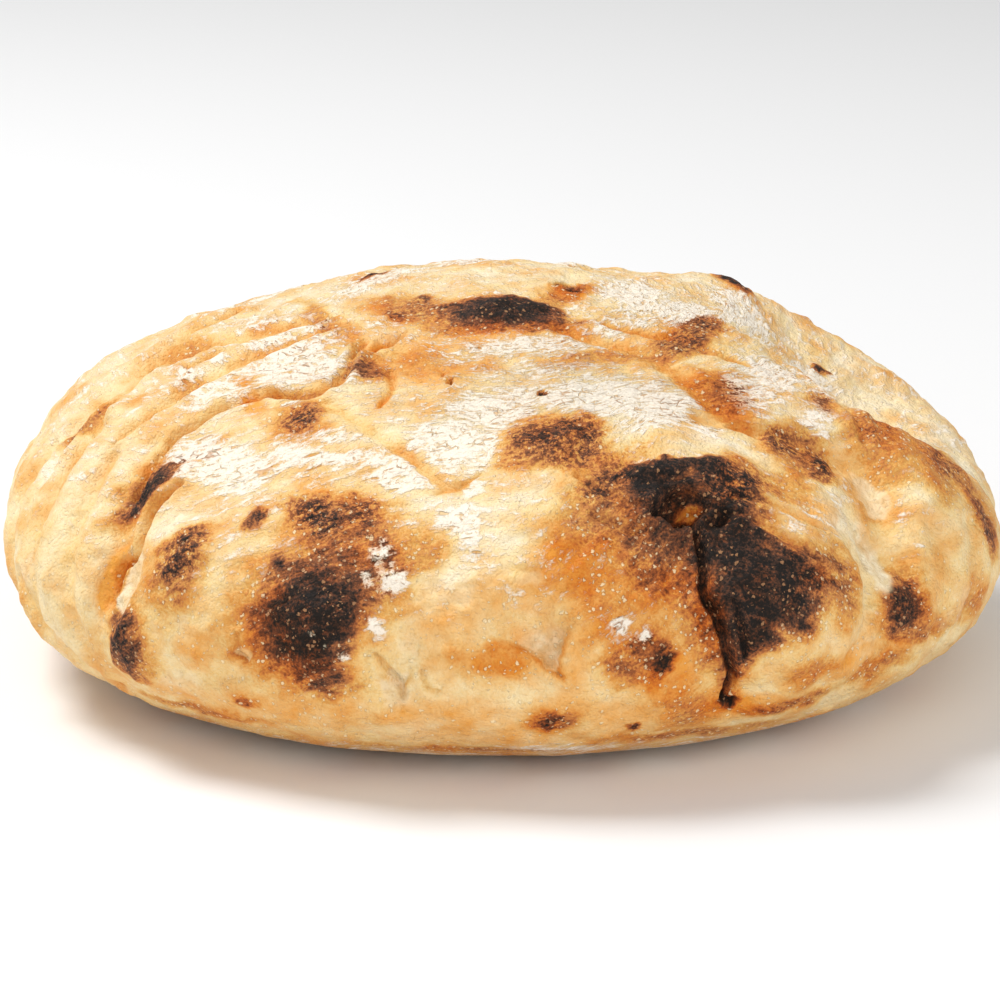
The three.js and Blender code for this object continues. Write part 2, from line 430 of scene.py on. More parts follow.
def cube_globe(cells):
    """The directions and the quads of a cube blown up to a globe."""
    a, b = np.meshgrid(np.arange(cells + 1), np.arange(cells + 1), indexing="ij")
    near = np.zeros_like(a)
    far = near + cells
    sides = [(far, a, b), (near, b, a), (b, far, a), (a, near, b), (a, b, far), (b, a, near)]
    lattice = np.array([np.stack(side, axis=-1) for side in sides])
    keys = lattice @ np.array([(cells + 1) ** 2, cells + 1, 1])
    unique, where = np.unique(keys, return_inverse=True)
    where = where.reshape(keys.shape)
    corners = np.zeros((len(unique), 3))
    corners[where.ravel()] = lattice.reshape(-1, 3)
    quads = np.stack(
        [where[:, :-1, :-1], where[:, 1:, :-1], where[:, 1:, 1:], where[:, :-1, 1:]], axis=-1)
    directions = unit(np.tan((corners / cells - 0.5) * (math.pi / 2)))
    return directions, quads.reshape(-1, 4)


def crowd_to_front(directions):
    """Draws the directions together towards the front of the roll."""
    return unit(directions + FRONT_CROWDING * FRONT)


def uncrowd(directions):
    """Undoes crowd_to_front."""
    facing = directions @ FRONT
    reach = FRONT_CROWDING * facing
    reach += np.sqrt(1.0 - FRONT_CROWDING ** 2 * (1.0 - facing ** 2))
    return directions * reach[:, None] - FRONT_CROWDING * FRONT


def cad_surface():
    """The CAD node's surface, for rays."""
    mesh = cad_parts["bread_roll"].data
    corners = [vertex.co.copy() for vertex in mesh.vertices]
    faces = [tuple(face.vertices) for face in mesh.polygons]
    return BVHTree.FromPolygons(corners, faces)


def surface_along(tree, direction):
    """Where a ray from the heart leaves the roll, in millimetres, and the normal there."""
    point, normal, _, _ = tree.ray_cast(Vector(HEART * MM), Vector(direction))
    return np.array(point) / MM, np.array(normal)


def direction_of(heading, lift):
    """The direction from the heart to a place."""
    turn = math.radians(heading)
    rise = math.radians(lift)
    return (math.sin(turn) * math.cos(rise), -math.cos(turn) * math.cos(rise), math.sin(rise))


# ---- noise ----

NOISE_SIZE = 256


def noise_tables(seed):
    """A shuffled list and a list of directions, for one noise."""
    dice = np.random.default_rng(seed)
    shuffled = dice.permutation(NOISE_SIZE).astype(np.int32)
    arrows = unit(dice.normal(size=(NOISE_SIZE, 3))).astype(np.float32)
    return shuffled, arrows


def single_noise(points, shuffled, arrows):
    """Gradient noise, about -1 to 1, with a grain of one unit."""
    cell = np.floor(points).astype(np.int32)
    inside = (points - cell).astype(np.float32)
    fade = inside ** 3 * (inside * (inside * 6 - 15) + 10)
    total = np.zeros(len(points), dtype=np.float32)
    for dx in (0, 1):
        row = shuffled[(cell[:, 0] + dx) % NOISE_SIZE]
        weight_x = fade[:, 0] if dx else 1 - fade[:, 0]
        for dy in (0, 1):
            column = shuffled[(row + cell[:, 1] + dy) % NOISE_SIZE]
            weight_y = weight_x * (fade[:, 1] if dy else 1 - fade[:, 1])
            for dz in (0, 1):
                arrow = arrows[shuffled[(column + cell[:, 2] + dz) % NOISE_SIZE]]
                weight = weight_y * (fade[:, 2] if dz else 1 - fade[:, 2])
                offset = inside - np.array((dx, dy, dz), dtype=np.float32)
                total += weight * np.einsum("ij,ij->i", offset, arrow)
    return total * 1.6


def cloud(points, grain, seed, octaves=3):
    """Layered noise, about -1 to 1, with its largest lumps about `grain` millimetres."""
    shuffled, arrows = noise_tables(seed)
    total = np.zeros(len(points))
    strength = 1.0
    for octave in range(octaves):
        total += strength * single_noise(points / grain + 17.3 * octave, shuffled, arrows)
        grain /= 2.03
        strength *= 0.5
    return total / (2 - 2 * strength)


# ---- the smooth skin ----


def new_mesh(name, points, quads):
    """A mesh of quads, from points in millimetres."""
    mesh = bpy.data.meshes.new(name)
    mesh.vertices.add(len(points))
    mesh.vertices.foreach_set("co", (points * MM).astype(np.float32).ravel())
    mesh.loops.add(quads.size)
    mesh.loops.foreach_set("vertex_index", quads.astype(np.int32).ravel())
    mesh.polygons.add(len(quads))
    mesh.polygons.foreach_set("loop_start", np.arange(0, quads.size, 4, dtype=np.int32))
    mesh.update(calc_edges=True)
    return mesh


def smooth_skin(tree):
    """An even mesh of quads over the CAD body, smoothed by subdivision."""
    directions, quads = cube_globe(CAGE_CELLS)
    outward = unit(crowd_to_front(directions) * HALF)
    points = np.array([surface_along(tree, direction)[0] for direction in outward])
    cage = add_object("cage", new_mesh("cage", points, quads))
    divide = cage.modifiers.new("divide", "SUBSURF")
    divide.levels = SUBDIVISIONS
    divide.render_levels = SUBDIVISIONS
    divide.use_limit_surface = False
    evaluated = cage.evaluated_get(bpy.context.evaluated_depsgraph_get())
    skin = bpy.data.meshes.new_from_object(evaluated)
    bpy.data.objects.remove(cage)
    return skin


def mesh_points(mesh):
    """The mesh's vertices in millimetres, and their normals."""
    points, normals = np.empty((2, len(mesh.vertices) * 3), dtype=np.float32)
    mesh.vertices.foreach_get("co", points)
    mesh.vertex_normals.foreach_get("vector", normals)
    return points.reshape(-1, 3).astype(float) / MM, normals.reshape(-1, 3).astype(float)


# ---- laying the marks ----

RAGGED_COARSE = 0.9
RAGGED_FINE = 0.4
CRACK_WANDER = 0.14


class Crust:
    """The skin's points and what is baked into each of them."""

    def __init__(self, tree, points, normals):
        self.tree = tree
        self.points = points
        self.normals = normals
        (self.height, self.bake, self.flour, self.pale, self.amber, self.crackle,
         self.grit) = np.zeros((7, len(points)))
        self.grain = stretched_places(points)
        coarse = self.push(3.4, 11)
        fine = self.push(1.1, 21)
        self.ragged = points + RAGGED_COARSE * coarse + RAGGED_FINE * fine
        self.wandering = points + CRACK_WANDER * coarse + CRACK_WANDER * fine
        self.streaks = cloud(self.grain, 2.4, 31, 2)
        self.crumbs = cloud(points, 0.9, 41, 2)

    def push(self, grain, seed):
        """Three noises at once, to push places about."""
        return np.stack([cloud(self.points, grain, seed + k, 1) for k in range(3)], axis=1)

    def about(self, heading, lift, widest):
        """The points near a place, and how far right, up and out of it each lies."""
        middle, normal = surface_along(self.tree, direction_of(heading, lift))
        near = np.flatnonzero(((self.points - middle) ** 2).sum(axis=1) < widest ** 2)
        turn = math.radians(heading)
        up = unit(np.cross(normal, (math.cos(turn), math.sin(turn), 0.0)))
        right = np.cross(up, normal)
        away = self.ragged[near] - middle
        return near, away @ right, away @ up, away @ normal

    def around(self, spot, reach):
        """The points near a spot, and how far out each lies, 1 at the spot's edge."""
        widest = 0.5 * max(spot.across, spot.along) * reach + 2 * RAGGED_COARSE
        near, x, y, out = self.about(spot.heading, spot.lift, widest)
        lean = math.radians(spot.tilt)
        across = (x * math.cos(lean) - y * math.sin(lean)) / (spot.across / 2)
        along = (x * math.sin(lean) + y * math.cos(lean)) / (spot.along / 2)
        thick = out / max(spot.across, spot.along)
        return near, np.sqrt(across ** 2 + along ** 2 + thick ** 2)

    def beside(self, crack, reach):
        """The points near a crack, and how many half widths each lies from its line."""
        line = [surface_along(self.tree, direction_of(*place))[0] for place in crack.places]
        line = smooth_line(np.array(line), 5)
        widest = crack.half_width * reach + 2 * CRACK_WANDER
        low = line.min(axis=0) - widest
        high = line.max(axis=0) + widest
        inside = np.logical_and(self.points > low, self.points < high).all(axis=1)
        near = np.flatnonzero(inside)
        places = self.wandering[near]
        nearest = np.full(len(near), np.inf)
        for position, (start, end) in enumerate(zip(line[:-1], line[1:])):
            along = end - start
            share = np.clip((places - start) @ along / (along @ along), 0.0, 1.0)
            away = np.linalg.norm(places - start - share[:, None] * along, axis=1)
            through = np.clip((position + share) / (len(line) - 1), 0.02, 0.98)
            taper = 0.45 + 0.55 * np.sin(math.pi * through) ** 0.5
            nearest = np.minimum(nearest, away / taper)
        return near, nearest / crack.half_width


def smooth_line(places, steps):
    """A smooth curve through the places, with steps points between each two."""
    ahead = np.vstack([2 * places[0] - places[1], places, 2 * places[-1] - places[-2]])
    line = []
    for a, b, c, d in zip(ahead[:-3], ahead[1:-2], ahead[2:-1], ahead[3:]):
        for t in np.arange(steps) / steps:
            line.append(0.5 * (2 * b + (c - a) * t + (2 * a - 5 * b + 4 * c - d) * t ** 2
                               + (3 * b - a - 3 * c + d) * t ** 3))
    line.append(places[-1])
    return np.array(line)


RING_SQUEEZE = 0.36

# The dough's streaks run round the roll, climbing over the burst and up to the crown from the
# left. Each pair is a heading and how many millimetres the streaks have climbed by there.
STREAK_CLIMB = [(-180, 0), (-85, 0), (-55, 8), (-20, 34), (-8, 38), (5, 38), (26, 52),
                (50, 34), (75, 26), (180, 0)]


def stretched_places(points):
    """Places whose noise comes out as streaks along the way the dough was stretched."""
    offset = points - HEART
    reach = np.hypot(offset[:, 0], offset[:, 1])
    half_height = np.where(offset[:, 2] > 0, HIGH[2] - BELLY_HEIGHT, BELLY_HEIGHT)
    slope = np.arctan2(offset[:, 2] / half_height, reach / HALF[0])
    steps = np.linspace(-math.pi / 2, math.pi / 2, 400)
    rise = np.where(steps > 0, HIGH[2] - BELLY_HEIGHT, BELLY_HEIGHT)
    pace = np.hypot(HALF[0] * np.sin(steps), rise * np.cos(steps)) * (steps[1] - steps[0])
    climb = np.interp(slope, steps, np.cumsum(pace))
    ring = HALF[0] * RING_SQUEEZE
    around = np.arctan2(offset[:, 0], -offset[:, 1])
    headings, climbs = np.array(STREAK_CLIMB).T
    low_down = smooth_step(1.3, 0.8, slope)
    climb = climb - low_down * np.interp(np.degrees(around), headings, climbs)
    squeezed = ring * np.minimum(reach / (0.35 * HALF[0]), 1.0)
    return np.stack([squeezed * np.sin(around), squeezed * np.cos(around), climb], axis=1)


# The dough's own relief: the grain of each kind of lump, and how high it stands, in millimetres.
LUMP_GRAIN, LUMP_RISE = 12, 0.8
DIMPLE_GRAIN, DIMPLE_RISE = 4.6, 0.5
RIPPLE_GRAIN, RIPPLE_RISE = 3.0, 0.36
PIMPLE_GRAIN, PIMPLE_RISE = 1.5, 0.14

# How far the plain skin is baked, and how much of it is amber, floury and gritty.
PLAIN_BAKE = 0.22
PLAIN_AMBER = 0.14
PLAIN_FLOUR = 0.1
UPWARD_FLOUR = 0.35
PLAIN_GRIT = 0.28


def lay_base(crust):
    """The dough's own lumps and mottling, before any mark."""
    points = crust.points
    lumps = cloud(points, LUMP_GRAIN, 1, 2)
    dimples = cloud(points, DIMPLE_GRAIN, 2, 2)
    ripples = cloud(crust.grain, RIPPLE_GRAIN, 3, 2)
    pimples = cloud(points, PIMPLE_GRAIN, 4, 1)
    upward = smooth_step(0.1, 0.7, crust.normals[:, 2])
    crust.height += (LUMP_RISE * lumps + DIMPLE_RISE * dimples + RIPPLE_RISE * ripples * upward
                     + PIMPLE_RISE * pimples)
    blush = cloud(points, 8, 5, 2)
    bands = cloud(crust.grain, 5.0, 6, 3)
    crust.bake += PLAIN_BAKE + 0.15 * blush + 0.22 * bands * upward + 0.05 * lumps + 0.08 * dimples
    crust.bake -= 0.05 * upward
    crust.amber += np.clip(PLAIN_AMBER + 0.5 * blush + 0.3 * dimples, 0, 0.6)
    crust.flour += PLAIN_FLOUR + UPWARD_FLOUR * upward + 0.16 * cloud(points, 9, 7, 2)
    crust.grit += PLAIN_GRIT + 0.16 * cloud(points, 11, 8, 1) - 0.16 * upward


def lay_spot(crust, spot):
    """A blister baked dark, with a browner ring round it."""
    near, away = crust.around(spot, 2.6)
    patchy = away + 0.16 * crust.streaks[near]
    core = smooth_step(1.4, 0.25, patchy)
    ring = np.exp(-(away / 1.5) ** 2)
    crust.bake[near] += 0.24 * ring * np.clip(spot.bake - 0.35, 0, 1)
    crust.bake[near] += np.clip(spot.bake - crust.bake[near], 0, 1) * core
    crust.height[near] += spot.rise * smooth_step(1.5, 0.0, away)
    crust.flour[near] *= 1 - 0.7 * smooth_step(1.25, 0.7, away) * min(1, spot.bake)
    crust.crackle[near] = np.maximum(crust.crackle[near], 0.5 * core)


SOOTY_SKIN = 0.56


def lay_soot(crust, spot):
    """A sooty patch: brown skin under a black network."""
    near, away = crust.around(spot, 2.2)
    cover = spot.bake * smooth_step(1.8, 0.1, away + 0.25 * crust.streaks[near])
    bake = crust.bake[near]
    crust.bake[near] = np.maximum(bake, bake + (SOOTY_SKIN - bake) * cover)
    crust.crackle[near] = np.maximum(crust.crackle[near], cover)
    crust.height[near] += spot.rise * smooth_step(1.6, 0.0, away)
    crust.flour[near] *= 1 - 0.8 * cover


def lay_lobe(crust, spot):
    """A broad lobe or dent."""
    near, away = crust.around(spot, 2.0)
    crust.height[near] += spot.rise * smooth_step(1.7, 0.3, away)


def lay_toast(crust, spot):
    """A broad toasted patch with soft, streaky edges."""
    near, away = crust.around(spot, 2.0)
    cover = smooth_step(1.4, 0.3, away + 0.3 * crust.streaks[near])
    bake = crust.bake[near]
    crust.bake[near] = np.maximum(bake, bake + (spot.bake - bake) * cover)
    crust.flour[near] *= 1 - 0.5 * cover
    crust.grit[near] += 0.45 * cover


def lay_flour(crust, spot):
    """A patch of flour that thins out towards its edge."""
    near, away = crust.around(spot, 2.0)
    cover = spot.bake * smooth_step(1.9, 0.2, away + 0.55 * crust.streaks[near])
    crust.flour[near] = np.maximum(crust.flour[near], cover)
    crust.bake[near] += 0.08 * cover


def lay_clump(crust, spot):
    """A thick crumb of flour."""
    near, away = crust.around(spot, 2.0)
    cover = smooth_step(1.9, 0.1, away + 0.4 * crust.crumbs[near])
    crust.flour[near] = np.maximum(crust.flour[near], 1.15 * cover)
    crust.height[near] += spot.rise * cover * (0.8 + 0.5 * crust.crumbs[near])


def lay_hollow(crust, spot):
    """A torn, paler hollow."""
    near, away = crust.around(spot, 1.8)
    cover = smooth_step(1.25, 0.5, away)
    crust.pale[near] = np.maximum(crust.pale[near], spot.bake * cover)
    crust.height[near] += spot.rise * cover
    crust.flour[near] *= 1 - 0.8 * cover


TEAR_LIP = 0.3
TORN_EDGE_BAKE = 0.5


def lay_tear(crust, tear):
    """A notch torn in the skin over pale crumb."""
    near, x, y, _ = crust.about(tear.heading, tear.lift, 1.6 * tear.reach)
    left = math.radians(tear.left)
    right = math.radians(tear.right)
    inside = np.minimum(x * math.cos(left) - y * math.sin(left),
                        y * math.sin(right) - x * math.cos(right))
    fade = smooth_step(tear.reach, 0.15 * tear.reach, np.hypot(x, y))
    gape = smooth_step(-0.2, 0.4, inside) * fade
    lip = np.exp(-((inside + 1.0) / 0.8) ** 2) * fade
    crust.height[near] += tear.depth * (TEAR_LIP * lip - gape)
    crust.pale[near] = np.maximum(crust.pale[near], 1.2 * gape)
    edge = 0.6 * fade * np.exp(-(inside / 0.4) ** 2)
    crust.bake[near] += (TORN_EDGE_BAKE - crust.bake[near]) * edge
    crust.flour[near] *= 1 - fade


HOLE_RIM = 0.25
RIM_PLACE = 1.45


def lay_hole(crust, spot):
    """A small hole with a raised rim, darkened inside: partly char, partly painted shade."""
    near, away = crust.around(spot, 2.6)
    cover = smooth_step(1.1, 0.6, away)
    crust.height[near] += spot.rise * smooth_step(1.15, 0.2, away)
    crust.height[near] -= HOLE_RIM * spot.rise * np.exp(-((away - RIM_PLACE) / 0.35) ** 2)
    # The inside takes the hole's bake: partly char, partly painted shade in the pit.
    crust.bake[near] += (spot.bake - crust.bake[near]) * cover
    crust.flour[near] *= 1 - cover


def lay_amber(crust, spot):
    """Orange skin."""
    near, away = crust.around(spot, 1.8)
    cover = spot.bake * smooth_step(1.2, 0.5, away)
    crust.amber[near] = np.maximum(crust.amber[near], cover)


# Where a crack's lips stand, how wide they are and how wide its darkened groove is, in half
# widths. The darkening is partly browner crust and partly painted shade.
LIP_PLACE = 2.2
LIP_WIDTH = 0.9
TOAST_AND_SHADE_WIDTH = 0.9


def lay_crack(crust, crack):
    """A crack or fold with lips, its groove darkened: partly browner crust, partly painted shade.
    """
    near, away = crust.beside(crack, 4.5)
    inside = np.exp(-away ** 2)
    crust.height[near] -= crack.depth * inside
    crust.height[near] += crack.lip * np.exp(-((away - LIP_PLACE) / LIP_WIDTH) ** 2)
    # The groove's darkening: partly browner crust, partly painted shade in the groove.
    ink = crack.ink * np.exp(-(away / TOAST_AND_SHADE_WIDTH) ** 2)
    crust.bake[near] += (crack.bake - crust.bake[near]) * ink
    crust.flour[near] *= 1 - inside


# The part of the back that the lists above don't reach, and how many marks lie on it.
BACK_HEADINGS = (116, 246)
BACK_LIFTS = (-8, 34)
BACK_FLOUR_HEADINGS = (112, 250)
BACK_FLOUR_LIFTS = (14, 62)
BACK_SEED = 11
BACK_LOBES = 8
BACK_AMBER = 14
BACK_BLISTERS = 9
BACK_SMALL_SPOTS = 12
BACK_FLOUR = 14
BACK_FOLDS = 8


def back_place(dice):
    """A heading and a lift on the back."""
    return dice.uniform(*BACK_HEADINGS), dice.uniform(*BACK_LIFTS)


def back_blister(crust, dice):
    """A charred blister with soot and toasted skin round it."""
    heading, lift = back_place(dice)
    size = dice.uniform(5, 12)
    tilt = dice.uniform(-40, 40)
    lay_toast(crust, Spot(heading, lift, size * 2.4, size * 1.8, 0.54, 0, tilt))
    lay_soot(crust, Spot(heading + dice.uniform(-5, 5), lift + dice.uniform(-3, 3),
                         size * 1.3, size, 0.9, 0.2, tilt))
    lay_spot(crust, Spot(heading, lift, size * 0.8, size * 0.6,
                         dice.uniform(0.7, 0.97), 0.08 * size, tilt))


def back_fold(crust, dice):
    """A shallow swaying fold."""
    heading, lift = back_place(dice)
    lean = dice.uniform(-24, 24)
    sway = dice.uniform(-4, 4)
    places = [(heading, lift + 5), (heading + 0.3 * lean + sway, lift + 3),
              (heading + 0.6 * lean - sway, lift - 1), (heading + lean, lift - 5)]
    lay_crack(crust, Crack(places, dice.uniform(0.6, 2.2), dice.uniform(0.4, 0.9),
                           0.15, 0.42, 0.3))


def hidden_side(crust):
    """Seeded lobes, blisters, flour and folds over the back."""
    dice = np.random.default_rng(BACK_SEED)
    for _ in range(BACK_LOBES):
        heading, lift = back_place(dice)
        across, along = dice.uniform(14, 30), dice.uniform(10, 20)
        tilt = dice.uniform(-40, 40)
        lay_lobe(crust, Spot(heading, lift + 6, across, along, 0, dice.uniform(-1.5, 1.3), tilt))
    for _ in range(BACK_AMBER):
        size = dice.uniform(8, 18)
        lay_amber(crust, Spot(*back_place(dice), size, size * 0.7, dice.uniform(0.5, 1.0)))
    for _ in range(BACK_BLISTERS):
        back_blister(crust, dice)
    for _ in range(BACK_SMALL_SPOTS):
        size = dice.uniform(2.5, 6)
        heading, lift = back_place(dice)
        tilt = dice.uniform(-40, 40)
        lay_spot(crust, Spot(heading, lift, size, size * 1.3, dice.uniform(0.6, 0.9), 0.2, tilt))
    for _ in range(BACK_FLOUR):
        lay_flour(crust, Spot(dice.uniform(*BACK_FLOUR_HEADINGS),
                              dice.uniform(*BACK_FLOUR_LIFTS), dice.uniform(14, 28),
                              dice.uniform(6, 12), dice.uniform(0.7, 1.05)))
    for _ in range(BACK_FOLDS):
        back_fold(crust, dice)


UNDERSIDE_HEIGHT = 9.0
UNDERSIDE_BAKE = 0.46
UNDERSIDE_FLOUR = 0.62


def lay_underside(crust):
    """The floury, browner foot, its relief mostly flattened where it lay on the oven's floor."""
    low = smooth_step(UNDERSIDE_HEIGHT, 2.0, crust.points[:, 2])
    crust.bake += low * (UNDERSIDE_BAKE + 0.16 * cloud(crust.points, 6, 51, 2) - crust.bake)
    crust.flour += low * (UNDERSIDE_FLOUR + 0.3 * cloud(crust.points, 8, 52, 2) - crust.flour)
    crust.height *= 1 - 0.8 * low


def baked_crust(tree, skin):
    """All the marks, laid in the order in which they cover each other."""
    crust = Crust(tree, *mesh_points(skin))
    lay_base(crust)
    hidden_side(crust)
    for lay, marks in ((lay_lobe, LOBES), (lay_toast, TOASTED), (lay_flour, FLOUR_PATCHES),
                       (lay_soot, SOOT_SPOTS), (lay_spot, CHAR_SPOTS),
                       (lay_hollow, PALE_HOLLOWS), (lay_tear, TEARS), (lay_hole, HOLES),
                       (lay_crack, CRACKS.values()), (lay_amber, AMBER_SPOTS),
                       (lay_clump, FLOUR_CLUMPS)):
        for mark in marks:
            lay(crust, mark)
    lay_underside(crust)
    return crust


def raised_points(crust):
    """The skin with its relief, held inside the CAD body's box and on the floor."""
    seat = smooth_step(0.0, 2.5, crust.points[:, 2])
    raised = crust.points + crust.normals * (crust.height * seat)[:, None]
    low = raised.min(axis=0)
    high = raised.max(axis=0)
    shrink = np.minimum((HIGH - LOW) / (high - low), 1.0)
    raised[:, :2] = (raised[:, :2] - (low + high)[:2] / 2) * shrink[:2]
    raised[:, 2] = np.clip(raised[:, 2], 0.0, None) * min(1.0, HIGH[2] / high[2])
    return raised


def keep(mesh, name, values, kind="FLOAT", field="value"):
    """Stores a number, or a vector, for each vertex."""
    stored = mesh.attributes.new(name, kind, "POINT")
    stored.data.foreach_set(field, values.astype(np.float32).ravel())


TILE_MARGIN = 0.02


def lay_out_bake_map(mesh, points):
    """One map of six tiles, a tile for each side of the globe."""
    outward = uncrowd(unit((points - HEART) / HALF))
    corner = np.empty(len(mesh.loops), dtype=np.int32)
    mesh.loops.foreach_get("vertex_index", corner)
    corners = outward[corner].reshape(-1, 4, 3)
    middle = corners.mean(axis=1)
    axis = np.argmax(np.abs(middle), axis=1)
    side = axis * 2 + (middle[np.arange(len(middle)), axis] > 0)
    lead = np.take_along_axis(corners, axis[:, None, None], axis=2)
    flat = np.arctan2(corners, np.abs(lead)) / (math.pi / 4)
    first = np.take_along_axis(flat, ((axis + 1) % 3)[:, None, None], axis=2)[..., 0]
    second = np.take_along_axis(flat, ((axis + 2) % 3)[:, None, None], axis=2)[..., 0]
    shrunk = 0.5 - TILE_MARGIN
    across = ((side % 3)[:, None] + 0.5 + first * shrunk) / 3
    along = ((side // 3)[:, None] + 0.5 + second * shrunk) / 2
    layer = mesh.uv_layers.new(name="OFBake")
    layer.uv.foreach_set(
        "vector", np.stack([across, along], axis=-1).astype(np.float32).ravel())


# ---- the crust material ----


def linear(red, green, blue):
    """A screen colour, 0 to 255, as the linear colour that a shader takes."""
    def open_up(value):
        value /= 255
        return value / 12.92 if value <= 0.04045 else ((value + 0.055) / 1.055) ** 2.4
    return (open_up(red), open_up(green), open_up(blue), 1.0)


class NodeSet:
    """Short ways to add shader nodes."""

    def __init__(self, material):
        self.nodes = material.node_tree.nodes
        self.links = material.node_tree.links

    def feed(self, socket, value):
        """Links a socket, or sets it to a constant."""
        if isinstance(value, bpy.types.NodeSocket):
            self.links.new(value, socket)
        else:
            socket.default_value = value

    def add_node(self, kind, inputs, **settings):
        """A node with its settings made and its inputs fed."""
        node = self.nodes.new("ShaderNode" + kind)
        for name, setting in settings.items():
            setattr(node, name, setting)
        for socket, value in inputs.items():
            self.feed(node.inputs[socket], value)
        return node

    def sum(self, kind, a, b=0.0, c=0.0, clamp=False):
        """One step of arithmetic."""
        node = self.add_node("Math", {0: a, 1: b, 2: c}, operation=kind, use_clamp=clamp)
        return node.outputs[0]

    def times(self, a, b):
        """The product of two values."""
        return self.sum("MULTIPLY", a, b)

    def read(self, name, output="Fac"):
        """A value stored on the mesh."""
        return self.add_node("Attribute", {}, attribute_name=name).outputs[output]

    def noise(self, place, grain, detail, roughness=0.5, output="Fac"):
        """Noise from 0 to 1 whose lumps are about `grain` millimetres."""
        inputs = {"Vector": place, "Scale": 1 / (grain * MM),
                  "Detail": detail, "Roughness": roughness}
        return self.add_node("TexNoise", inputs).outputs[output]

    def cells(self, place, grain, feature="F1"):
        """Voronoi cells about `grain` millimetres across."""
        inputs = {"Vector": place, "Scale": 1 / (grain * MM)}
        return self.add_node("TexVoronoi", inputs, feature=feature)

    def bent(self, place, grain, push):
        """Places pushed about by up to half of push, in millimetres."""
        bend = self.noise(place, grain, 0.0, output="Color")
        inputs = {0: bend, 1: (push * MM,) * 3, 2: place}
        return self.add_node("VectorMath", inputs, operation="MULTIPLY_ADD").outputs[0]

    def specks(self, place, grain, share):
        """Ragged grains scattered about, in that share of the cells."""
        cells = self.cells(self.bent(place, 0.5 * grain, 0.6 * grain), grain)
        dice = self.add_node("SeparateColor", {0: cells.outputs["Color"]}).outputs
        chosen = self.sum("GREATER_THAN", share, dice[0])
        size = self.climb(dice[1], 0.2, 1.0, 0.14, 0.4)
        grains = self.climb(self.sum("SUBTRACT", cells.outputs["Distance"], size), 0.05, -0.08)
        return self.times(grains, chosen)

    def climb(self, value, low, high, start=0.0, end=1.0):
        """A smooth climb from start to end as value goes from low to high."""
        inputs = {"Value": value, "From Min": low, "From Max": high,
                  "To Min": start, "To Max": end}
        return self.add_node("MapRange", inputs, interpolation_type="SMOOTHSTEP").outputs[0]

    def mix(self, share, under, over, kind="MIX"):
        """Two colours mixed."""
        inputs = {0: share, 6: under, 7: over}
        return self.add_node("Mix", inputs, data_type="RGBA", blend_type=kind).outputs[2]

    def ramp(self, value, stops):
        """A colour for each value."""
        node = self.add_node("ValToRGB", {"Fac": value})
        elements = node.color_ramp.elements
        while len(elements) < len(stops):
            elements.new(0.5)
        for element, (position, colour) in zip(elements, stops):
            element.position = position
            element.color = colour
        return node.outputs["Color"]


BAKE_COLOURS = [
    (0, linear(252, 238, 208)),
    (0.14, linear(246, 222, 172)),
    (0.28, linear(238, 200, 132)),
    (0.4, linear(224, 164, 82)),
    (0.52, linear(202, 132, 70)),
    (0.64, linear(160, 97, 56)),
    (0.76, linear(112, 68, 45)),
    (0.88, linear(68, 47, 36)),
    (1, linear(30, 25, 22)),
]
FLOUR_COLOUR = linear(254, 243, 226)
DUST_COLOUR = linear(250, 224, 184)
CRUMB_COLOUR = linear(250, 234, 200)
CRUMB_SHADE = linear(234, 210, 164)
AMBER_COLOUR = linear(245, 192, 110)
SPECK_COLOUR = linear(255, 230, 184)
SPECK_TOASTED = linear(214, 156, 108)

# The grain of each noise in the material, in millimetres.
BLOTCH_GRAIN = 4.5
MOTTLE_GRAIN = 1.5
SAND_GRAIN = 0.36
STREAK_GRAIN = 1.1
DASH_GRAIN = 0.75
NET_GRAIN = 2.1
SOOT_GRAIN = 0.7
SPECK_GRAIN = 0.66

# The height of each kind of fine relief, in millimetres.
MOTTLE_RELIEF = 0.5
SAND_RELIEF = 0.22
STREAK_RELIEF = 0.5
SPLIT_RELIEF = -0.3
POWDER_RELIEF = 0.1
SPECK_RELIEF = 0.14


